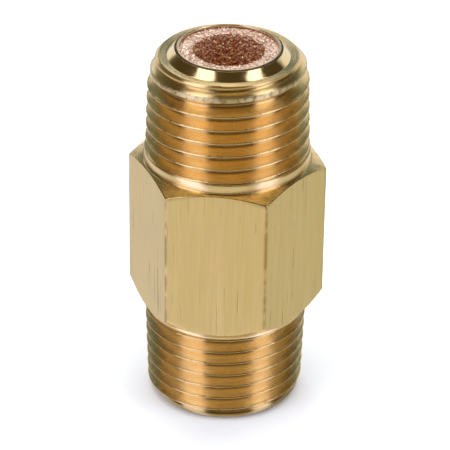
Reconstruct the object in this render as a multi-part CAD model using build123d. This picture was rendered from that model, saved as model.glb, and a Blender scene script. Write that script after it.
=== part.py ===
"""In-line pneumatic muffler: a one-piece brass hex body with a 1/2-14 NPT male thread
at each end, and a sintered bronze cup held in its outlet end by a rolled lip.

Millimetres. The origin is the centre of the inlet end face, and +Z runs along the
flow axis towards the outlet. One pair of wrench flats faces -Y and +Y.
"""
import math
import os

from build123d import *

# Pipe thread, 1/2-14 NPT: 60 degree flanks, 1 in 16 taper on the diameter
PITCH = 25.4 / 14
TAPER = 1 / 32
SMALL_END_CREST_RADIUS = 10.24
THREAD_DEPTH = 0.76 * PITCH
CREST_FLAT = 0.06 * PITCH
FLANK_SLOPE = math.tan(math.radians(30))
TOOL_CLEARANCE = 0.07
GROOVE_OVERRUN = 1.81

# Hexagon, 7/8 in across the flats
HEX_ACROSS_FLATS = 25.4 * 7 / 8
HEX_LOWER_CORNER = 15.4
HEX_UPPER_CORNER = 33.6
HEX_MIDDLE = (HEX_LOWER_CORNER + HEX_UPPER_CORNER) / 2
LOWER_CHAMFER_DEGREES = 40.5
UPPER_CHAMFER_DEGREES = 27.0

# Plain collars between the hexagon and the threads
LOWER_COLLAR_RADIUS = 10.62
LOWER_COLLAR_END = 13.05
UPPER_COLLAR_RADIUS = 10.72
UPPER_COLLAR_END = 35.95

# Inlet end: its port, and the height of one thread crest on the -Y side
INLET_FACE_RADIUS = 9.3
INLET_CREST_HEIGHT = 10.93
PORT_RADIUS = 5.5
PORT_CHAMFER = 0.5
PORT_LENGTH = 14.0

# Outlet end: thread chamfer, shoulder, burnished nose and the lip rolled over the cup
OVERALL_HEIGHT = 50.0
OUTLET_CREST_HEIGHT = 45.17
OUTLET_SMALL_END = 47.2
OUTLET_CHAMFER_DEGREES = 50.0
SHOULDER_RADIUS = 8.85
SHOULDER_HEIGHT = 48.88
NOSE_BASE_RADIUS = 7.82
LIP_OUTER_RADIUS = 6.7
LIP_STEP = 0.12
LIP_OPENING_RADIUS = 6.29
LIP_THICKNESS = 0.35

# Cavity: seat for the cup's flange and the chamber around the cup
SEAT_RADIUS = 6.65
CHAMBER_RADIUS = 6.25
TUBE_RADIUS = 8.2
DRILL_POINT_DEGREES = 31.0

# Sintered cup: flanged rim, tapered wall and closed floor
CUP_LENGTH = 28.0
CUP_FLOOR = 3.0
CUP_WALL_RADIUS = 5.65
CUP_FLOOR_RADIUS = 5.3
CUP_BORE_RADIUS = 4.4
CUP_BORE_FLOOR_RADIUS = 4.0
CUP_EDGE = 0.3
FLANGE_HEIGHT = 3.0


def turned(outline):
    """A solid turned about Z from a closed outline of (radius, height) points."""
    section = make_face(Plane.XZ * Polyline(*outline, close=True))
    return revolve(section, Axis.Z)


def disc(radius, bottom, top):
    """A solid disc about Z between two heights."""
    return Pos(0, 0, bottom) * extrude(Circle(radius), top - bottom)


def rise(run, degrees):
    """Height gained by a slope over a run."""
    return run * math.tan(math.radians(degrees))


def outlet_crest_radius(height):
    """Radius of the outlet thread's crests at a height."""
    return SMALL_END_CREST_RADIUS + TAPER * (OUTLET_SMALL_END - height)


def inlet_crest_radius(height):
    """Radius of the inlet thread's crests at a height."""
    return SMALL_END_CREST_RADIUS + TAPER * height


def thread_groove(crest_height, crest_radius, taper_sign, bottom, top):
    """A right-hand V groove along a tapered helix, kept between two heights.

    crest_height is where a crest crosses the -Y side. The helix starts on the +X side
    a quarter pitch and some whole turns lower, outside the kept heights.
    """
    turns_below = math.ceil((crest_height - bottom) / PITCH) + 1
    turns = turns_below + math.ceil((top - crest_height) / PITCH) + 1
    start = crest_height - PITCH / 4 - turns_below * PITCH
    root_radius = crest_radius(start) - THREAD_DEPTH
    root_flat = PITCH - CREST_FLAT - 2 * THREAD_DEPTH * FLANK_SLOPE
    mouth_radius = root_radius + THREAD_DEPTH + TOOL_CLEARANCE
    mouth_flat = root_flat + 2 * (mouth_radius - root_radius) * FLANK_SLOPE
    path = Pos(0, 0, start) * Helix(
        pitch=PITCH,
        height=turns * PITCH,
        radius=root_radius,
        cone_angle=taper_sign * math.degrees(math.atan(TAPER)),
    )
    section = make_face(Plane.XZ * Polyline(
        (root_radius, start - root_flat / 2),
        (root_radius, start + root_flat / 2),
        (mouth_radius, start + mouth_flat / 2),
        (mouth_radius, start - mouth_flat / 2),
        close=True,
    ))
    groove = sweep(section, path=path, is_frenet=True)
    return groove & disc(HEX_ACROSS_FLATS, bottom, top)


def inlet_spigot():
    """The inlet end with its port and thread, up to the middle of the hexagon."""
    chamfer_end = inlet_crest_radius(0) - INLET_FACE_RADIUS
    blank = turned([
        (PORT_RADIUS + PORT_CHAMFER, 0),
        (INLET_FACE_RADIUS, 0),
        (inlet_crest_radius(chamfer_end), chamfer_end),
        (inlet_crest_radius(LOWER_COLLAR_END), LOWER_COLLAR_END),
        (LOWER_COLLAR_RADIUS, LOWER_COLLAR_END),
        (LOWER_COLLAR_RADIUS, HEX_MIDDLE),
        (CHAMBER_RADIUS, HEX_MIDDLE),
        (CHAMBER_RADIUS, PORT_LENGTH + rise(CHAMBER_RADIUS - PORT_RADIUS, DRILL_POINT_DEGREES)),
        (PORT_RADIUS, PORT_LENGTH),
        (PORT_RADIUS, PORT_CHAMFER),
    ])
    return blank - thread_groove(
        INLET_CREST_HEIGHT, inlet_crest_radius, 1,
        bottom=-PITCH, top=LOWER_COLLAR_END,
    )


def outlet_chamfer():
    """What is turned away at the outlet thread's first turn."""
    outside = UPPER_COLLAR_RADIUS + PITCH
    above = SHOULDER_HEIGHT + PITCH
    return turned([
        (SHOULDER_RADIUS, SHOULDER_HEIGHT),
        (SHOULDER_RADIUS, above),
        (outside, above),
        (outside, SHOULDER_HEIGHT - rise(outside - SHOULDER_RADIUS, OUTLET_CHAMFER_DEGREES)),
    ])


def outlet_thread():
    """The outlet collar and thread, as a ring around the outlet tube."""
    blank = turned([
        (TUBE_RADIUS, HEX_UPPER_CORNER),
        (UPPER_COLLAR_RADIUS, HEX_UPPER_CORNER),
        (UPPER_COLLAR_RADIUS, UPPER_COLLAR_END),
        (outlet_crest_radius(UPPER_COLLAR_END), UPPER_COLLAR_END),
        (outlet_crest_radius(SHOULDER_HEIGHT), SHOULDER_HEIGHT),
        (TUBE_RADIUS, SHOULDER_HEIGHT),
    ])
    groove = thread_groove(
        OUTLET_CREST_HEIGHT, outlet_crest_radius, -1,
        bottom=UPPER_COLLAR_END, top=SHOULDER_HEIGHT + GROOVE_OVERRUN,
    )
    return blank - groove - outlet_chamfer()


def outlet_tube():
    """The inside of the outlet end: chamber wall, cup seat, nose and rolled lip."""
    cone_top = SHOULDER_HEIGHT + NOSE_BASE_RADIUS - LIP_OUTER_RADIUS
    flange_top = OVERALL_HEIGHT - LIP_THICKNESS
    return turned([
        (CHAMBER_RADIUS, HEX_MIDDLE),
        (TUBE_RADIUS, HEX_MIDDLE),
        (TUBE_RADIUS, SHOULDER_HEIGHT),
        (NOSE_BASE_RADIUS, SHOULDER_HEIGHT),
        (LIP_OUTER_RADIUS + LIP_STEP, cone_top - LIP_STEP),
        (LIP_OUTER_RADIUS, OVERALL_HEIGHT),
        (LIP_OPENING_RADIUS, OVERALL_HEIGHT),
        (LIP_OPENING_RADIUS, flange_top),
        (SEAT_RADIUS, flange_top),
        (SEAT_RADIUS, flange_top - FLANGE_HEIGHT),
        (CHAMBER_RADIUS, flange_top - FLANGE_HEIGHT),
    ])


def hexagon():
    """The wrench hexagon, with its corners trimmed by a cone at each end."""
    flat_radius = HEX_ACROSS_FLATS / 2
    corner_radius = flat_radius / math.cos(math.radians(30))
    bottom = HEX_LOWER_CORNER - rise(corner_radius - LOWER_COLLAR_RADIUS, LOWER_CHAMFER_DEGREES)
    top = HEX_UPPER_CORNER + rise(corner_radius - UPPER_COLLAR_RADIUS, UPPER_CHAMFER_DEGREES)
    bar = Pos(0, 0, bottom) * extrude(
        RegularPolygon(flat_radius, 6, major_radius=False), top - bottom
    )
    trimmed = turned([
        (0, bottom),
        (LOWER_COLLAR_RADIUS, bottom),
        (corner_radius, HEX_LOWER_CORNER),
        (corner_radius, HEX_UPPER_CORNER),
        (UPPER_COLLAR_RADIUS, top),
        (0, top),
    ])
    return bar & trimmed


def hex_body():
    """The one-piece brass body."""
    bored_hexagon = hexagon() - disc(TUBE_RADIUS, 0, OVERALL_HEIGHT)
    return inlet_spigot() + outlet_tube() + bored_hexagon + outlet_thread()


def sintered_cup():
    """The porous cup: open at the outlet, closed at the inlet side."""
    rim = OVERALL_HEIGHT - LIP_THICKNESS
    tip = rim - CUP_LENGTH
    return turned([
        (0, tip),
        (CUP_FLOOR_RADIUS - CUP_EDGE, tip),
        (CUP_FLOOR_RADIUS, tip + CUP_EDGE),
        (CUP_WALL_RADIUS, rim - FLANGE_HEIGHT),
        (SEAT_RADIUS, rim - FLANGE_HEIGHT),
        (SEAT_RADIUS, rim),
        (CUP_BORE_RADIUS + CUP_EDGE, rim),
        (CUP_BORE_RADIUS, rim - CUP_EDGE),
        (CUP_BORE_FLOOR_RADIUS, tip + CUP_FLOOR),
        (0, tip + CUP_FLOOR),
    ])


def build():
    """Write one STEP file for each piece."""
    os.makedirs("parts", exist_ok=True)
    export_step(hex_body(), "parts/hex_body.step")
    export_step(sintered_cup(), "parts/sintered_cup.step")


if __name__ == "__main__":
    build()
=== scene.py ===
"""An in-line pneumatic muffler standing on its inlet end: a turned brass hex body with a
pipe thread at each end, and a sintered bronze cup under the rolled lip of its outlet.

Shapes are worked out in millimetres, in the CAD frame, and made in metres. Each piece is a
grid of rows, which go round the axis, and columns, which are half-planes through it.
"""
import math

import bpy
import numpy as np
from mathutils import Matrix, Vector


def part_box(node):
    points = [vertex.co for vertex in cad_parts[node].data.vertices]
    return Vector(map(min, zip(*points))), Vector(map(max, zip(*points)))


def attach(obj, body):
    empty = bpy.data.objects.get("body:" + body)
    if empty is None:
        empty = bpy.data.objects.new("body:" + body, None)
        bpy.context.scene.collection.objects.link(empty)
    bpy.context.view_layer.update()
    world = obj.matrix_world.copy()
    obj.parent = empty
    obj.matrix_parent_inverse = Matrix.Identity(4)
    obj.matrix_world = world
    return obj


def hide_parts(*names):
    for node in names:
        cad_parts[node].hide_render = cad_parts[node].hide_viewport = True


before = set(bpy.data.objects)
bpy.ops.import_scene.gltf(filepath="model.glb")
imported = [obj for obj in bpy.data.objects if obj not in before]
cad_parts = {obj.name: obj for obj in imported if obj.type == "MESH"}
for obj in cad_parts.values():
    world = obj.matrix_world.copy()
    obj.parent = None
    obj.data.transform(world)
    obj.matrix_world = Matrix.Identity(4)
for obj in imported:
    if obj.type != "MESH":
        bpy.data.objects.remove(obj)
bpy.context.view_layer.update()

MM = 0.001
body_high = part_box("hex_body")[1] / MM
cup_low, cup_high = (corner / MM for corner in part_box("sintered_cup"))

# Pipe thread
PITCH = 25.4 / 14
TAPER = 1 / 32
SMALL_END_CREST_RADIUS = 10.24
THREAD_DEPTH = 0.76 * PITCH
FLANK_SLOPE = math.tan(math.radians(30))
CREST_HALF_WIDTH = 0.045
FRONT = 1.5 * math.pi

# How unevenly the tool cut: the burr's height, its share on rows of thread_profile that it
# raises, and how far edges waver
BURR_HEIGHT = 0.075
BURR_SHARES = {1: 0.35, 2: 1.0, 3: 0.45}
WAVER = 0.012

# Hexagon and the collars beside it
FLAT_RADIUS = body_high.y
CORNER_RADIUS = FLAT_RADIUS / math.cos(math.radians(30))
CORNER_ROUNDING = 0.16
CORNER_DARK_WIDTH = 0.2
HEXAGON_ROWS = 32
HEX_LOWER_CORNER = 15.4
HEX_UPPER_CORNER = 33.6
LOWER_CHAMFER = math.tan(math.radians(40.5))
UPPER_CHAMFER = math.tan(math.radians(27))
LOWER_COLLAR_RADIUS = 10.62
LOWER_COLLAR_END = 13.05
UPPER_COLLAR_RADIUS = 10.72
UPPER_COLLAR_END = 35.95

# Inlet end
INLET_FACE_RADIUS = 9.15
INLET_CREST_HEIGHT = 10.93
PORT_RADIUS = 5.5
PORT_CHAMFER = 0.5
PORT_LENGTH = 14.0
DRILL_POINT = math.tan(math.radians(31))

# Outlet end
TOP = body_high.z
OUTLET_CREST_HEIGHT = 45.17
OUTLET_SMALL_END = 47.2
LAND_RADIUS = 9.9
LAND_START = 46.7
RAISED_START = 45.7
RAISED_LENGTH = 1.5
RAISED_BY = 0.36
SHOULDER_RADIUS = 8.85
SHOULDER_HEIGHT = 48.88
NOSE_BASE_RADIUS = 7.82
LIP_OUTER_RADIUS = 6.7
LIP_OPENING_RADIUS = 6.29

# Cup
RIM = cup_high.z
TIP = cup_low.z
SEAT_RADIUS = cup_high.x
CHAMBER_RADIUS = 6.25
FLANGE_HEIGHT = 3.0
CUP_WALL_RADIUS = 5.65
CUP_FLOOR_RADIUS = 5.3
CUP_BORE_RADIUS = 4.4
CUP_BORE_FLOOR_RADIUS = 4.0
CUP_FLOOR = 3.0
RIM_ROUNDING = 0.3
GRAIN_CELL = 0.215
GRAIN_RADIUS = 0.135
GRAIN_REACH = 0.22

CAMERA_AZIMUTH = 6.736

# Material slots on the body's mesh
TURNED, DRAWN, CHAMFER, NOSE, CREVICE, LIP, BORE = range(7)

# The "groove" attribute: 0 at a thread's crest to 1 at its root, the darkening along the
# hexagon's corners from 0 to 1, and this value on every other row
PLAIN = -0.2

random = np.random.default_rng(14)


# ---------------------------------------------------------------- noise and grids

def smooth_noise(places, step):
    """Smooth seeded noise from -1 to 1 along a line, with one random value each step."""
    scaled = np.asarray(places) / step
    first = math.floor(scaled.min()) - 1
    values = random.uniform(-1, 1, math.ceil(scaled.max()) - first + 3)
    cell = np.floor(scaled).astype(int)
    part = scaled - cell
    part = part * part * (3 - 2 * part)
    return values[cell - first] * (1 - part) + values[cell - first + 1] * part


def ring_noise(angles, lowest, highest):
    """Smooth seeded noise round the axis, about -1 to 1, made of whole waves."""
    waves = np.arange(lowest, highest)
    phases = random.uniform(0, 2 * math.pi, len(waves))
    total = np.cos(np.outer(angles, waves) + phases).sum(axis=1)
    return total / math.sqrt(len(waves))


def body_columns():
    """Column angles: even steps, with closer ones beside each corner of the hexagon."""
    corner_steps = np.radians([0.2, 0.5])
    even = np.radians(np.arange(60) * 1.0)
    sector = np.concatenate([even, corner_steps, math.radians(60) - corner_steps])
    return np.concatenate([np.sort(sector) + math.radians(60) * k for k in range(6)])


def ring(angles, radius, height):
    """One plain row."""
    return np.full(len(angles), float(radius)), np.full(len(angles), float(height))


def grid_mesh(name, angles, rows, wraps, materials, groove=None):
    """A closed mesh from rows of (radius, height). wraps says which row each row meets
    past the last column, materials gives the slot of the band above each row, and groove
    is the point attribute of that name."""
    radius = np.array([row[0] for row in rows])
    height = np.array([row[1] for row in rows])
    points = np.stack([radius * np.cos(angles), radius * np.sin(angles), height], axis=2)
    count, width = radius.shape
    keys = np.round(points.reshape(-1, 3) * 1e4).astype(np.int64)
    first, same = np.unique(keys, axis=0, return_index=True, return_inverse=True)[1:]
    index = same.reshape(count, width)
    following = np.empty_like(index)
    following[:, :-1] = index[:, 1:]
    following[:, -1] = index[np.asarray(wraps), 0]
    lower, upper = np.arange(count), np.roll(np.arange(count), -1)
    corners = np.stack([index[lower], following[lower], following[upper], index[upper]], axis=2)
    slots = np.repeat(np.asarray(materials), width)
    faces, face_slots = [], []
    for corner, slot in zip(corners.reshape(-1, 4).tolist(), slots.tolist()):
        kept = [c for k, c in enumerate(corner) if c != corner[k - 1]]
        if len(set(kept)) == len(kept) and len(kept) > 2:
            faces.append(kept)
            face_slots.append(slot)
    mesh = bpy.data.meshes.new(name)
    mesh.from_pydata((points.reshape(-1, 3)[first] * MM).tolist(), [], faces)
    mesh.polygons.foreach_set("material_index", face_slots)
    mesh.polygons.foreach_set("use_smooth", np.ones(len(faces), bool))
    if groove is not None:
        attribute = mesh.attributes.new("groove", "FLOAT", "POINT")
        attribute.data.foreach_set("value", groove.reshape(-1)[first].astype(np.float32))
    mesh.update()
    piece = bpy.data.objects.new(name, mesh)
    bpy.context.scene.collection.objects.link(piece)
    return piece


# ---------------------------------------------------------------- body

def thread_profile():
    """One turn's outline, from a crest to just below the next: (rise, depth) pairs."""
    root = THREAD_DEPTH
    foot = CREST_HALF_WIDTH + root * FLANK_SLOPE
    flank = [(CREST_HALF_WIDTH + d * FLANK_SLOPE, d) for d in (0.28, 1.08)]
    under = [(PITCH - CREST_HALF_WIDTH - d * FLANK_SLOPE, d) for d in (0.96, 0.44, 0.035)]
    crest = [(0, 0), (0.05, 0.01), (0.105, 0.045), (0.135, 0.14)]
    bottom = [(foot, root), (PITCH - foot, root)]
    return crest + flank + bottom + under


def thread_rows(angles, crest_height, crest_radius, envelope, low, high, shift):
    """Rows that follow the right-hand helix between two heights, and their wraps."""
    profile = thread_profile()
    per_turn = len(profile)
    first = math.floor((low - crest_height) / PITCH - 0.25) - 1
    last = math.ceil((high - crest_height) / PITCH + 0.75) + 1
    along = angles - FRONT
    unrolled = np.concatenate([along + 2 * math.pi * n for n in range(first, last)])
    burr = 0.5 + 0.5 * smooth_noise(unrolled, 0.055)
    burr = burr * (0.6 + 0.4 * smooth_noise(unrolled, 0.4))
    ragged = smooth_noise(unrolled, 0.09)
    waver = smooth_noise(unrolled, 0.35)
    width = len(angles)
    radius, height, groove = [], [], []
    for turn in range(last - first):
        part = slice(turn * width, (turn + 1) * width)
        centre = crest_height + PITCH * ((turn + first) + along / (2 * math.pi))
        for k, (up, depth) in enumerate(profile):
            z = centre + up + WAVER * waver[part]
            z = z + BURR_HEIGHT * BURR_SHARES.get(k, 0) * burr[part]
            z = z + shift(z)
            near_crest = max(0.0, 1 - depth / 0.2)
            r = crest_radius(z) - depth + near_crest * WAVER * ragged[part]
            radius.append(np.minimum(r, envelope(z)))
            height.append(z)
            groove.append(np.full(width, depth / THREAD_DEPTH))
    radius, height, groove = np.array(radius), np.array(height), np.array(groove)
    for limit, outside in ((low, height < low + 0.004), (high, height > high - 0.004)):
        edge = [np.interp(limit, height[:, j], radius[:, j]) for j in range(width)]
        radius = np.where(outside, np.array(edge), radius)
        height = np.where(outside, limit, height)
    rows = list(zip(radius, height))
    wraps = np.minimum(np.arange(len(rows)) + per_turn, len(rows) - 1)
    return rows, wraps, groove


def outlet_crest_radius(height):
    """Radius of the outlet thread's crests."""
    return SMALL_END_CREST_RADIUS + TAPER * (OUTLET_SMALL_END - height)


def inlet_crest_radius(height):
    """Radius of the inlet thread's crests."""
    return SMALL_END_CREST_RADIUS + TAPER * height


def outlet_envelope(height):
    """What the land and the chamfer leave of the outlet thread's start."""
    land = LAND_RADIUS + np.maximum(0, LAND_START - height)
    chamfer = SHOULDER_RADIUS + (SHOULDER_HEIGHT - height)
    return np.minimum(land, chamfer)


def inlet_envelope(height):
    """What the chamfer at the face and the one at the collar leave of the inlet thread."""
    collar = LOWER_COLLAR_RADIUS - 0.1 + np.maximum(0, LOWER_COLLAR_END - height)
    return np.minimum(INLET_FACE_RADIUS + height, collar)


def outlet_shift(height):
    """The first turn of the outlet thread sits a little high."""
    part = np.clip((height - RAISED_START) / RAISED_LENGTH, 0, 1)
    return RAISED_BY * part * part * (3 - 2 * part)


def no_shift(height):
    """The inlet thread keeps its pitch."""
    return 0 * height


def hex_radius(angles):
    """Radius of the hexagon, with slightly rounded corners."""
    sector = math.radians(60)
    from_flat = (angles % sector) - sector / 2
    flat = FLAT_RADIUS / np.cos(from_flat)
    along = (sector / 2 - np.abs(from_flat)) * CORNER_RADIUS
    reach = CORNER_ROUNDING * math.tan(sector / 2)
    drop = CORNER_ROUNDING * (1 / math.cos(sector / 2) - 1)
    return flat - drop * np.maximum(0, 1 - along / reach) ** 2


def corner_darkening(angles, heights):
    """How much the hexagon is darkened, from 0 to 1: uneven lines along its corners."""
    sector = math.radians(60)
    corner = np.round(angles / sector).astype(int) % 6
    beside = np.abs(angles - np.round(angles / sector) * sector) * CORNER_RADIUS
    lines = []
    for _ in range(6):
        patches = 0.85 + 0.5 * smooth_noise(heights, 2.6) + 0.4 * smooth_noise(heights, 0.5)
        lines.append(np.clip(patches, 0, 1))
    return np.array(lines)[corner].T * np.exp(-(beside / CORNER_DARK_WIDTH) ** 2)


def hexagon_rows(angles):
    """Rows up the hexagon, from the lower collar's corner to the upper collar's."""
    radius = hex_radius(angles)
    low_edge = HEX_LOWER_CORNER - (CORNER_RADIUS - radius) * LOWER_CHAMFER
    high_edge = HEX_UPPER_CORNER + (CORNER_RADIUS - radius) * UPPER_CHAMFER
    rows, slots = [], []
    for share in (0.0, 0.08, 0.5, 0.9, 0.985):
        r = LOWER_COLLAR_RADIUS + (radius - LOWER_COLLAR_RADIUS) * share
        rows.append((r, HEX_LOWER_CORNER - (CORNER_RADIUS - r) * LOWER_CHAMFER))
        slots.append(CHAMFER)
    for share in np.linspace(0.003, 0.997, HEXAGON_ROWS):
        rows.append((radius, low_edge + (high_edge - low_edge) * share))
        slots.append(DRAWN)
    slots[-1] = CHAMFER
    for share in (0.985, 0.9, 0.5, 0.14):
        r = UPPER_COLLAR_RADIUS + (radius - UPPER_COLLAR_RADIUS) * share
        rows.append((r, HEX_UPPER_CORNER + (CORNER_RADIUS - r) * UPPER_CHAMFER))
        slots.append(CHAMFER)
    darkened = corner_darkening(angles, np.array([row[1][0] for row in rows]))
    return rows, slots, np.arange(len(rows)), darkened


def body_rows(angles):
    """Every row of the body: up its outside, over the lip and down its inside."""
    rows, wraps, slots, groove = [], [], [], []

    def add(new_rows, slot, new_wraps=None, new_groove=None):
        """Add rows, which by default close on themselves and are plain."""
        start = len(rows)
        rows.extend(new_rows)
        own = np.arange(len(new_rows)) if new_wraps is None else new_wraps
        wraps.extend(start + own)
        slots.extend(slot if isinstance(slot, list) else [slot] * len(new_rows))
        plain = np.full((len(new_rows), len(angles)), PLAIN)
        groove.append(plain if new_groove is None else new_groove)

    def add_points(points, slot):
        """Add a plain row for each (radius, height)."""
        add([ring(angles, *point) for point in points], slot)

    add_points([(PORT_RADIUS + PORT_CHAMFER, 0), (PORT_RADIUS + PORT_CHAMFER + 0.05, 0)], TURNED)
    add_points([(r, 0) for r in (7.2, 8.0, 8.7)], TURNED)
    add(*thread_section(angles, INLET_CREST_HEIGHT, inlet_crest_radius, inlet_envelope,
                        0.0, LOWER_COLLAR_END, no_shift))
    collar = LOWER_COLLAR_RADIUS
    base = HEX_LOWER_CORNER - (CORNER_RADIUS - collar) * LOWER_CHAMFER
    add_points([(collar - 0.08, LOWER_COLLAR_END), (collar - 0.02, LOWER_COLLAR_END + 0.03),
                (collar, LOWER_COLLAR_END + 0.1), (collar, base - 0.08),
                (collar - 0.03, base - 0.03)], TURNED)
    add(*hexagon_rows(angles))
    collar = UPPER_COLLAR_RADIUS
    base = HEX_UPPER_CORNER + (CORNER_RADIUS - collar) * UPPER_CHAMFER
    add_points([(collar + 0.06, base - 0.05), (collar - 0.02, base - 0.06),
                (collar - 0.07, base), (collar - 0.04, base + 0.1),
                (collar, base + 0.24), (collar, UPPER_COLLAR_END - 0.13),
                (collar - 0.03, UPPER_COLLAR_END - 0.03),
                (collar - 0.1, UPPER_COLLAR_END)], TURNED)
    add(*thread_section(angles, OUTLET_CREST_HEIGHT, outlet_crest_radius, outlet_envelope,
                        UPPER_COLLAR_END, SHOULDER_HEIGHT, outlet_shift))
    shoulder = SHOULDER_HEIGHT
    add_points([(8.78, shoulder + 0.005)], TURNED)
    turned_rings = ((8.66, 0.06, 0.05), (8.45, 0.07, 0.10), (8.24, 0.04, 0.07),
                    (8.08, 0.05, 0.09))
    for middle, half, deep in turned_rings:
        add_points([(middle + half, shoulder), (middle, shoulder - deep),
                    (middle - half, shoulder)], TURNED)
    add_points([(7.94, shoulder - 0.02), (7.84, shoulder - 0.07)], TURNED)
    add(*nose_rows(angles))
    seat_bottom = RIM - FLANGE_HEIGHT
    add_points([(LIP_OPENING_RADIUS, RIM), (SEAT_RADIUS, RIM),
                (SEAT_RADIUS, seat_bottom), (CHAMBER_RADIUS, seat_bottom),
                (CHAMBER_RADIUS, PORT_LENGTH + (CHAMBER_RADIUS - PORT_RADIUS) * DRILL_POINT),
                (PORT_RADIUS, PORT_LENGTH), (PORT_RADIUS, 9.0), (PORT_RADIUS, 4.0),
                (PORT_RADIUS, PORT_CHAMFER + 0.02)], BORE)
    return rows, wraps, slots, np.concatenate(groove)


def thread_section(angles, *values):
    """thread_rows in the order that body_rows adds: rows, slot, wraps, groove."""
    rows, wraps, groove = thread_rows(angles, *values)
    return rows, TURNED, wraps, groove


def nose_rows(angles):
    """The burnished cone, the dark step beside the lip, and the rolled lip itself."""
    waver = WAVER * ring_noise(angles, 3, 40)
    cone = [ring(angles, NOSE_BASE_RADIUS - s, SHOULDER_HEIGHT + s)
            for s in (0.0, 0.04, 0.45, 0.84)]
    outer = LIP_OUTER_RADIUS
    step = [(outer + 0.18, TOP - 0.17), (outer + 0.165, TOP - 0.155),
            (outer + 0.13, TOP - 0.19), (outer + 0.10, TOP - 0.30), (outer + 0.03, TOP - 0.30),
            (outer - 0.01, TOP - 0.15), (outer - 0.05, TOP - 0.08)]
    step = [(r + waver, z + 0 * angles) for r, z in step]
    inner = LIP_OPENING_RADIUS
    lip = [(outer - 0.12, TOP - 0.03), (outer - 0.2, TOP), (inner + 0.15, TOP - 0.008),
           (inner + 0.07, TOP - 0.045), (inner, TOP - 0.12)]
    ragged = 0.02 * ring_noise(angles, 8, 90)
    inside = [(inner + 0.01 + ragged, TOP - 0.22 + 0 * angles)]
    rows = cone + step + [ring(angles, *point) for point in lip] + inside
    slots = [NOSE] * (len(cone) + 2) + [CREVICE] * 5
    return rows, slots + [LIP] * (len(rows) - len(slots))


def make_body():
    """The body as one closed piece."""
    angles = body_columns()
    rows, wraps, slots, groove = body_rows(angles)
    piece = grid_mesh("brass_body", angles, rows, wraps, slots, groove)
    for make in (turned_brass, drawn_brass, chamfered_brass, burnished_brass, crevice_shade_brass,
                 rolled_brass, bored_brass):
        piece.data.materials.append(make())
    return piece


# ---------------------------------------------------------------- cup

def grain_surface(points, normals):
    """How far below the outline the powder balls lie, at each point."""
    base = np.floor(points / GRAIN_CELL).astype(np.int64)
    low = base.min(axis=0) - 1
    size = base.max(axis=0) - low + 2
    jitter = random.uniform(0.1, 0.9, (*size, 3))
    radii = GRAIN_RADIUS * random.uniform(0.85, 1.12, size)
    best = np.full(len(points), -GRAIN_REACH)
    for dx in (-1, 0, 1):
        for dy in (-1, 0, 1):
            for dz in (-1, 0, 1):
                cell = base + (dx, dy, dz)
                place = tuple((cell - low).T)
                offset = (cell + jitter[place]) * GRAIN_CELL - points
                along = (offset * normals).sum(axis=1)
                left = radii[place] ** 2 - (offset ** 2).sum(axis=1) + along ** 2
                height = along + np.sqrt(np.maximum(left, 0)) - GRAIN_RADIUS
                fits = (left > 0) & (along < 0) & (along > -GRAIN_REACH)
                best = np.where(fits, np.maximum(best, height), best)
    return best


def cup_outline():
    """The cup's outline as (radius, height, grained) points, up the outside and down the bore."""
    seat_bottom = RIM - FLANGE_HEIGHT
    points = [(r, TIP, 1) for r in np.arange(0.05, CUP_FLOOR_RADIUS - 0.3, 0.11)]
    points += [(CUP_FLOOR_RADIUS - 0.15, TIP + 0.06, 1), (CUP_FLOOR_RADIUS, TIP + 0.3, 1)]
    points += [(CUP_WALL_RADIUS, seat_bottom, 0), (SEAT_RADIUS, seat_bottom, 0)]
    points += [(SEAT_RADIUS, RIM, 0)]
    points += [(r, RIM, 1) for r in np.arange(6.45, CUP_BORE_RADIUS + RIM_ROUNDING, -0.075)]
    turn = np.radians(np.arange(0, 91, 15))
    points += [(CUP_BORE_RADIUS + RIM_ROUNDING * (1 - math.sin(a)),
                RIM - RIM_ROUNDING * (1 - math.cos(a)), 1) for a in turn]
    floor = TIP + CUP_FLOOR
    depth = np.concatenate([np.arange(0.38, 6.0, 0.085), np.arange(6.2, 24.9, 0.8)])
    lean = (CUP_BORE_RADIUS - CUP_BORE_FLOOR_RADIUS) / (RIM - floor)
    points += [(CUP_BORE_RADIUS - d * lean, RIM - d, 1) for d in depth]
    points += [(r, floor, 1) for r in np.arange(CUP_BORE_FLOOR_RADIUS, 0.04, -0.2)]
    return np.array(points)


def make_cup():
    """The sintered cup, with every powder ball on its open faces raised in the mesh."""
    angles = np.linspace(0, 2 * math.pi, 480, endpoint=False)
    outline = cup_outline()
    ahead = np.roll(outline, -1, axis=0) - np.roll(outline, 1, axis=0)
    length = np.hypot(ahead[:, 0], ahead[:, 1])
    out_r, out_z = ahead[:, 1] / length, -ahead[:, 0] / length
    cos, sin = np.cos(angles), np.sin(angles)
    points = np.stack([np.outer(outline[:, 0], cos), np.outer(outline[:, 0], sin),
                       np.outer(outline[:, 1], np.ones_like(angles))], axis=2)
    normals = np.stack([np.outer(out_r, cos), np.outer(out_r, sin),
                        np.outer(out_z, np.ones_like(angles))], axis=2)
    sunk = grain_surface(points.reshape(-1, 3), normals.reshape(-1, 3))
    sunk = sunk.reshape(points.shape[:2]) * outline[:, 2:3]
    radius = outline[:, 0:1] + sunk * out_r[:, None]
    height = outline[:, 1:2] + sunk * out_z[:, None]
    centre_rows = [0, len(outline) - 1]
    radius[centre_rows] = 0
    for row in centre_rows:
        height[row] = height[row].mean()
    rows = list(zip(radius, height))
    piece = grid_mesh("sintered_bronze_cup", angles, rows, np.arange(len(rows)),
                      [0] * len(rows))
    piece.data.materials.append(sintered_bronze())
    return piece


# ---------------------------------------------------------------- materials

def math_node(tree, operation, first, second=None):
    """The output of a new Math node. Each value is a number or another node's output."""
    node = tree.nodes.new("ShaderNodeMath")
    node.operation = operation
    for socket, value in zip(node.inputs, (first, second)):
        if isinstance(value, (int, float)):
            socket.default_value = value
        elif value is not None:
            tree.links.new(value, socket)
    return node.outputs[0]


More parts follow.
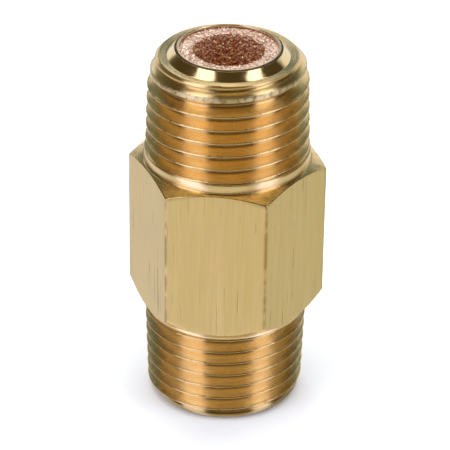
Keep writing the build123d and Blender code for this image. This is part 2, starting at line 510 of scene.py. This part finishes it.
class Nodes:
    """A new material with its principled shader, and short ways to add nodes to it."""

    def __init__(self, name, **constants):
        self.material = bpy.data.materials.new(name)
        self.material.use_nodes = True
        self.tree = self.material.node_tree
        self.shader = self.tree.nodes["Principled BSDF"]
        self.set(self.shader, **constants)
        self.place = self.add("ShaderNodeTexCoord").outputs["Object"]

    def set(self, node, **constants):
        """Set a node's sockets by name, with _ for each space."""
        for socket, value in constants.items():
            node.inputs[socket.replace("_", " ")].default_value = value

    def add(self, kind, **constants):
        node = self.tree.nodes.new(kind)
        self.set(node, **constants)
        return node

    def link(self, output, node, socket):
        self.tree.links.new(output, node.inputs[socket])

    def scaled(self, scale):
        """The place on the part, stretched for marks that run along the axis."""
        mapping = self.add("ShaderNodeMapping", Scale=scale)
        self.link(self.place, mapping, "Vector")
        return mapping.outputs["Vector"]

    def noise(self, vector, scale, detail=2.0, roughness=0.5):
        node = self.add("ShaderNodeTexNoise", Scale=scale, Detail=detail, Roughness=roughness)
        self.link(vector, node, "Vector")
        return node.outputs["Fac"]

    def math(self, operation, *values):
        return math_node(self.tree, operation, *values)

    def range(self, value, low, high, to_low, to_high):
        """to_low where value is at low, to_high where it is at high, even between them."""
        node = self.add("ShaderNodeMapRange", From_Min=low, From_Max=high,
                        To_Min=to_low, To_Max=to_high)
        self.link(value, node, "Value")
        return node.outputs["Result"]

    def mix(self, factor, first, second):
        """A colour between two, each of them a constant or another node's output."""
        node = self.add("ShaderNodeMix")
        node.data_type = "RGBA"
        self.tree.links.new(factor, node.inputs["Factor"])
        for socket, value in ((6, first), (7, second)):
            if isinstance(value, tuple):
                node.inputs[socket].default_value = (*value, 1)
            else:
                self.tree.links.new(value, node.inputs[socket])
        return node.outputs[2]

    def bump(self, height, distance, strength=1.0, under=None):
        """Small relief, on top of the relief under it if there is one."""
        node = self.add("ShaderNodeBump", Strength=strength, Distance=distance)
        self.link(height, node, "Height")
        if under is not None:
            self.link(under, node, "Normal")
        return node.outputs["Normal"]

    def from_axis(self):
        """Distance from the part's axis."""
        flat = self.add("ShaderNodeVectorMath")
        flat.operation = "MULTIPLY"
        self.tree.links.new(self.place, flat.inputs[0])
        flat.inputs[1].default_value = (1, 1, 0)
        length = self.add("ShaderNodeVectorMath")
        length.operation = "LENGTH"
        self.tree.links.new(flat.outputs[0], length.inputs[0])
        return length.outputs["Value"]

    def height(self):
        """Height along the part's axis."""
        split = self.add("ShaderNodeSeparateXYZ")
        self.link(self.place, split, "Vector")
        return split.outputs["Z"]

    def finish(self, colour=None, roughness=None, normal=None):
        """Give the shader what varies, and return the material."""
        for socket, value in (("Base Color", colour), ("Roughness", roughness),
                              ("Normal", normal)):
            if value is not None:
                self.tree.links.new(value, self.shader.inputs[socket])
        return self.material


BRASS = (0.83, 0.58, 0.23)
BRASS_PALE = (0.82, 0.61, 0.31)
BRASS_ORANGE = (0.80, 0.51, 0.18)
BRASS_CREST = (0.80, 0.54, 0.22)
BRASS_CREST_SHADE = (0.64, 0.43, 0.17)
BRASS_COLLAR = (0.81, 0.59, 0.27)
BRASS_TORN = (0.82, 0.64, 0.32)
BRASS_OLIVE = (0.66, 0.49, 0.17)
# A dark brown for real stains and marks, and for painted shade in the thread roots and at the
# foot
BRASS_STAIN_AND_SHADE = (0.36, 0.23, 0.07)


def lathe_noise(n, spacing):
    """Fine rings left by the turning tool, square to the axis."""
    vector = n.add("ShaderNodeCombineXYZ")
    n.link(n.math("ADD", n.from_axis(), n.height()), vector, "X")
    return n.noise(vector.outputs[0], 1 / spacing, 3.0, 0.7)


def turned_brass():
    """Threads, collars and shoulder, whose tool rings spread each highlight along the axis.
    The thread's start is torn and the crests are nicked. The foot and the thread roots have
    painted shade, and the lower thread is painted paler with darker crests."""
    n = Nodes("turned_brass", Metallic=1.0, Anisotropic=0.85, Anisotropic_Rotation=0.25)
    tangent = n.add("ShaderNodeTangent")
    tangent.direction_type = "RADIAL"
    tangent.axis = "Z"
    n.link(tangent.outputs["Tangent"], n.shader, "Tangent")
    groove = n.add("ShaderNodeAttribute")
    groove.attribute_name = "groove"
    depth = groove.outputs["Fac"]
    rings = lathe_noise(n, 0.00016)
    flank = n.mix(n.noise(n.scaled((1, 1, 2)), 420, 3), BRASS_ORANGE, BRASS)
    # Painted light and shade by height: lower down, the flanks are painted paler and the crests
    # darker.
    upper = n.range(n.height(), LOWER_COLLAR_END * MM, UPPER_COLLAR_END * MM, 0.0, 1.0)
    flank = n.mix(n.math("MULTIPLY", n.math("SUBTRACT", 1.0, upper), 0.55), flank, BRASS_PALE)
    edge = n.mix(upper, BRASS_CREST_SHADE, BRASS_CREST)
    tone = n.mix(n.range(depth, 0.04, 0.2, 0.0, 1.0), edge, flank)
    tone = n.mix(n.range(depth, -0.2, -0.1, 1.0, 0.0), tone, BRASS_COLLAR)
    # Painted shade in the thread roots.
    tone = n.mix(n.range(depth, 0.85, 1.0, 0.0, 0.5), tone, BRASS_STAIN_AND_SHADE)
    # Painted shade on the foot, darker towards the inlet face.
    foot = n.math("MULTIPLY", n.range(n.height(), 0.6 * MM, 1.1 * MM, 0.8, 0.0),
                  n.range(n.from_axis(), (INLET_FACE_RADIUS - 0.2) * MM,
                          (INLET_FACE_RADIUS + 0.1) * MM, 0.25, 1.0))
    tone = n.mix(foot, tone, BRASS_STAIN_AND_SHADE)
    land = n.math("MULTIPLY",
                  n.range(n.height(), LAND_START * MM, (LAND_START + 0.25) * MM, 0.0, 1.0),
                  n.range(n.from_axis(), (LAND_RADIUS - 0.3) * MM,
                          (LAND_RADIUS - 0.1) * MM, 0.0, 1.0))
    chatter = n.noise(n.scaled((1, 1, 0.6)), 2000, 3, 0.7)
    torn = n.math("MULTIPLY", land, n.range(chatter, 0.50, 0.64, 0.0, 0.85))
    tone = n.mix(land, tone, BRASS_TORN)
    crest = n.range(n.math("ABSOLUTE", depth), 0.04, 0.14, 1.0, 0.0)
    nick = n.range(n.noise(n.scaled((1, 1, 0.4)), 1500, 2), 0.63, 0.69, 0.0, 0.8)
    tone = n.mix(n.math("MAXIMUM", torn, n.math("MULTIPLY", crest, nick)), tone, BRASS_STAIN_AND_SHADE)
    rough = n.math("ADD", n.range(rings, 0.3, 0.7, 0.19, 0.33),
                   n.range(n.noise(n.place, 300, 2), 0.3, 0.7, -0.02, 0.05))
    rough = n.math("MAXIMUM", rough, n.math("MULTIPLY", crest, 0.28))
    rough = n.math("MAXIMUM", rough, n.math("MULTIPLY", land, 0.52))
    marks = n.bump(rings, 0.00003, 0.4)
    torn_marks = n.bump(n.math("MULTIPLY", land, chatter), 0.00005, 0.7, marks)
    return n.finish(tone, rough, torn_marks)


def drawn_brass():
    """The hexagon's flats as the bar was drawn: streaks, scratches, dents and darker lines along
    the corners.
    """
    n = Nodes("drawn_brass", Metallic=1.0)
    streaks = n.noise(n.scaled((1, 1, 0.03)), 2600, 3, 0.65)
    wide = n.noise(n.scaled((1, 1, 0.10)), 420, 3)
    blotch = n.noise(n.place, 180, 3)
    dark_corners = n.add("ShaderNodeAttribute")
    dark_corners.attribute_name = "groove"
    tone = n.mix(wide, BRASS_OLIVE, BRASS_PALE)
    tone = n.mix(n.range(blotch, 0.35, 0.7, 0.0, 0.6), tone, BRASS)
    tone = n.mix(n.range(streaks, 0.40, 0.62, 0.6, 0.0), tone, BRASS_OLIVE)
    lines = n.noise(n.scaled((1, 1, 0.035)), 1900, 2)
    broken = n.range(n.noise(n.scaled((1, 1, 0.5)), 330, 2), 0.45, 0.6, 0.0, 1.0)
    scratch = n.math("MULTIPLY", n.range(lines, 0.60, 0.68, 0.0, 0.8), broken)
    dent = n.range(n.noise(n.scaled((1, 1, 0.6)), 620, 2), 0.72, 0.80, 0.0, 0.6)
    marks = n.math("MAXIMUM", scratch, dent)
    marks = n.math("MAXIMUM", marks, n.range(dark_corners.outputs["Fac"], 0.1, 0.7, 0.0, 0.9))
    tone = n.mix(marks, tone, BRASS_STAIN_AND_SHADE)
    rough = n.range(streaks, 0.3, 0.7, 0.30, 0.44)
    fine = n.bump(streaks, 0.00002, 0.6)
    cut = n.bump(n.math("SUBTRACT", 1.0, marks), 0.00004, 0.6, fine)
    waves = n.bump(n.noise(n.scaled((1, 1, 0.35)), 300, 2), 0.00006, 0.5, cut)
    return n.finish(tone, rough, waves)


def chamfered_brass():
    """The hexagon's turned chamfers, with patches of stain."""
    n = Nodes("chamfered_brass", Metallic=1.0)
    rings = lathe_noise(n, 0.00025)
    stain = n.range(n.noise(n.scaled((1, 1, 2)), 420, 4, 0.65), 0.49, 0.66, 0.0, 0.75)
    tone = n.mix(rings, (0.86, 0.54, 0.18), (0.93, 0.66, 0.29))
    rough = n.range(rings, 0.3, 0.7, 0.18, 0.34)
    return n.finish(n.mix(stain, tone, BRASS_STAIN_AND_SHADE), rough, n.bump(rings, 0.00005, 0.6))


def burnished_brass():
    """The cone that the rolling tool polished."""
    n = Nodes("burnished_brass", Metallic=1.0)
    tone = n.mix(n.noise(n.place, 500, 3), BRASS, BRASS_PALE)
    rough = n.range(n.noise(n.place, 800, 2), 0.3, 0.7, 0.08, 0.15)
    return n.finish(tone, rough, n.bump(n.noise(n.place, 1400, 2), 0.00001, 0.4))


def crevice_shade_brass():
    """The step round the outside of the lip, painted near black: painted shade in the crevice."""
    n = Nodes("crevice_shade_brass", Metallic=0.8)
    # Near-black tones: painted shade in the step beside the lip.
    tone = n.mix(n.noise(n.place, 700, 3), (0.03, 0.02, 0.01), (0.26, 0.16, 0.06))
    rough = n.range(n.noise(n.place, 1500, 2), 0.3, 0.7, 0.45, 0.65)
    return n.finish(tone, rough, n.bump(n.noise(n.place, 3000, 2), 0.00002, 0.5))


def rolled_brass():
    """The lip that holds the cup."""
    n = Nodes("rolled_brass", Metallic=1.0)
    tone = n.mix(n.noise(n.place, 900, 3), (0.80, 0.58, 0.30), (0.90, 0.70, 0.44))
    rough = n.range(n.noise(n.place, 1500, 2), 0.3, 0.7, 0.22, 0.40)
    return n.finish(tone, rough, n.bump(n.noise(n.place, 3000, 3), 0.00002, 0.5))


def bored_brass():
    """The inside of the body."""
    n = Nodes("bored_brass", Metallic=1.0)
    tone = n.mix(n.noise(n.place, 300, 3), BRASS_STAIN_AND_SHADE, BRASS)
    rough = n.range(n.noise(n.place, 700, 2), 0.3, 0.7, 0.28, 0.42)
    return n.finish(tone, rough, n.bump(lathe_noise(n, 0.0003), 0.00003, 0.6))


def sintered_bronze():
    """Bronze powder whose grains each have their own tone, with painted shade down the bore:
    darker and more orange there than on the rim.
    """
    n = Nodes("sintered_bronze", Metallic=0.6)
    cells = n.add("ShaderNodeTexVoronoi", Scale=1 / (GRAIN_CELL * MM))
    n.link(n.place, cells, "Vector")
    shade = n.add("ShaderNodeSeparateColor")
    n.link(cells.outputs["Color"], shade, "Color")
    fleck = n.range(shade.outputs["Red"], 0.2, 0.8, 0.0, 1.0)
    tone = n.mix(fleck, (0.50, 0.24, 0.14), (1.00, 0.78, 0.60))
    # The bore's tones, darker and more saturated: painted shade down the bore.
    deep = n.mix(fleck, (0.52, 0.12, 0.03), (1.00, 0.64, 0.26))
    inside = n.range(n.from_axis(), (CUP_BORE_RADIUS + 0.25) * MM, (CUP_BORE_RADIUS + 0.05) * MM,
                     0.0, 1.0)
    rough = n.range(shade.outputs["Green"], 0.0, 1.0, 0.12, 0.42)
    return n.finish(n.mix(inside, tone, deep), rough,
                    n.bump(n.noise(n.place, 9000, 2), 0.00001, 0.4))


# ---------------------------------------------------------------- stage

def make_floor():
    """A plain pale floor, so wide that its edge is never in view."""
    half = 2.5
    mesh = bpy.data.meshes.new("floor")
    corners = [(-half, -half), (half, -half), (half, half), (-half, half)]
    mesh.from_pydata([(x, y, -0.01 * MM) for x, y in corners], [], [(0, 1, 2, 3)])
    floor = bpy.data.objects.new("floor", mesh)
    bpy.context.scene.collection.objects.link(floor)
    n = Nodes("pale_floor", Base_Color=(0.90, 0.915, 0.905, 1), Roughness=0.9)
    mesh.materials.append(n.finish())
    floor.visible_glossy = False


class Studio:
    """The light that the part sees from each direction, painted on the world, where each
    paint covers the ones before it. Azimuths are measured from the camera's side, and all
    angles are in degrees."""

    def __init__(self, dark):
        world = bpy.data.worlds.new("studio")
        bpy.context.scene.world = world
        world.use_nodes = True
        self.tree = world.node_tree
        place = self.tree.nodes.new("ShaderNodeTexCoord").outputs["Generated"]
        turn = self.tree.nodes.new("ShaderNodeMapping")
        turn.inputs["Rotation"].default_value[2] = -math.radians(CAMERA_AZIMUTH)
        self.tree.links.new(place, turn.inputs["Vector"])
        split = self.tree.nodes.new("ShaderNodeSeparateXYZ")
        self.tree.links.new(turn.outputs["Vector"], split.inputs[0])
        front = self.math("MULTIPLY", split.outputs["Y"], -1.0)
        self.azimuth = self.math("DEGREES", self.math("ARCTAN2", split.outputs["X"], front))
        self.elevation = self.math("DEGREES", self.math("ARCSINE", split.outputs["Z"]))
        self.aside = self.math("ABSOLUTE", self.azimuth)
        self.dark = (*dark, 1)
        self.light = None

    def math(self, operation, *values):
        return math_node(self.tree, operation, *values)

    def step(self, value, start, end):
        """0 at start and 1 at end, with a soft change between them."""
        node = self.tree.nodes.new("ShaderNodeMapRange")
        node.interpolation_type = "SMOOTHSTEP"
        low, high = min(start, end), max(start, end)
        node.inputs["From Min"].default_value = low
        node.inputs["From Max"].default_value = high
        node.inputs["To Min"].default_value = float(start > end)
        node.inputs["To Max"].default_value = float(start < end)
        self.tree.links.new(value, node.inputs["Value"])
        return node.outputs["Result"]

    def paint(self, radiance, *steps):
        """Where all the steps are 1, the light has this radiance."""
        mask = self.step(*steps[0])
        for step in steps[1:]:
            mask = self.math("MULTIPLY", mask, self.step(*step))
        mix = self.tree.nodes.new("ShaderNodeMix")
        mix.data_type = "RGBA"
        self.tree.links.new(mask, mix.inputs["Factor"])
        mix.inputs[6].default_value = self.dark
        if self.light is not None:
            self.tree.links.new(self.light, mix.inputs[6])
        mix.inputs[7].default_value = (*radiance, 1)
        self.light = mix.outputs[2]

    def finish(self):
        """Make all the paint the world's colour."""
        self.tree.links.new(self.light, self.tree.nodes["Background"].inputs["Color"])


def make_lights():
    """A pale surround below the horizon, dim sides and a warm ceiling above it, low lights
    and a soft box behind the part, and a tall box each side of the camera. The floor has its
    own lamp."""
    studio = Studio((0.075, 0.058, 0.030))
    azimuth, side, rise = studio.azimuth, studio.aside, studio.elevation
    below = (rise, -2, -14)
    studio.paint((0.86, 0.85, 0.82), below)
    studio.paint((0.73, 0.76, 0.74), below, (azimuth, 78, 92))
    studio.paint((0.87, 0.91, 1.06), below, (azimuth, -80, -100))
    studio.paint((0.92, 0.98, 1.08), below, (azimuth, 124, 138))
    studio.paint((0.24, 0.21, 0.16), (side, 70, 95), (rise, 22, 8), (rise, -12, -4))
    studio.paint((0.12, 0.19, 0.20), (side, 122, 140), (rise, 52, 42), (rise, 14, 22))
    studio.paint((1.00, 1.10, 1.30), (azimuth, 112, 128), (rise, 27, 17), (rise, -12, -4))
    studio.paint((1.00, 1.10, 1.30), (azimuth, -130, -140), (rise, 17, 9), (rise, -12, -4))
    studio.paint((0.62, 0.50, 0.26), (side, 100, 125), (rise, 50, 60))
    studio.paint((0.75, 0.60, 0.28), (rise, 72, 80))
    studio.paint((1.50, 1.66, 2.00), (azimuth, -148, -160), (rise, 28, 36), (rise, 84, 76))
    studio.paint((1.50, 1.66, 2.00), (azimuth, 148, 160), (rise, 35, 43), (rise, 84, 76))
    # The tall boxes lean outwards and widen a little towards the top.
    lean = studio.math("SUBTRACT", 0.934, studio.math("MULTIPLY", rise, 0.0022))
    leaning = studio.math("MULTIPLY", azimuth, lean)
    for low, high in ((-65, -31), (40, 67)):
        across = ((leaning, low - 3, low + 3), (leaning, high + 3, high - 3))
        studio.paint((1.55, 1.66, 2.60), *across, (rise, 36, 24), (rise, -80, -60))
        studio.paint((2.10, 2.30, 2.90), *across, (rise, 68, 62), (rise, 24, 36))
    studio.finish()
    lamp = bpy.data.lights.new("floor_lamp", "AREA")
    lamp.size = 1.6
    lamp.energy = 24.0
    holder = bpy.data.objects.new("floor_lamp", lamp)
    holder.location = (0, 0, 1.4)
    holder.visible_glossy = False
    bpy.context.scene.collection.objects.link(holder)
    bpy.context.scene.view_settings.view_transform = "Standard"


def make_camera():
    """The camera, a third of a metre away and 30 degrees above the horizon."""
    azimuth, elevation, roll = np.radians([CAMERA_AZIMUTH, 30.325, 0.799])
    distance = 0.329747
    back = Vector((math.sin(azimuth) * math.cos(elevation),
                   -math.cos(azimuth) * math.cos(elevation), math.sin(elevation)))
    right = Vector((math.cos(azimuth), math.sin(azimuth), 0))
    up = back.cross(right)
    aim = Vector((0, 0, 24.026 * MM)) - right * 0.175 * MM
    data = bpy.data.cameras.new("camera")
    data.sensor_width = 36
    data.lens = 202.08
    data.clip_start, data.clip_end = 0.01, 10
    camera = bpy.data.objects.new("camera", data)
    bpy.context.scene.collection.objects.link(camera)
    tilted_right = right * math.cos(roll) + up * math.sin(roll)
    tilted_up = up * math.cos(roll) - right * math.sin(roll)
    turn = Matrix((tilted_right, tilted_up, back)).transposed().to_4x4()
    camera.matrix_world = Matrix.Translation(aim + back * distance) @ turn
    bpy.context.scene.camera = camera


make_camera()
body = make_body()
cup = make_cup()
for piece, node, slot in ((body, "hex_body", "brass_body"),
                          (cup, "sintered_cup", "sintered_bronze")):
    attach(piece, "root")
    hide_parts(node)
make_floor()
make_lights()
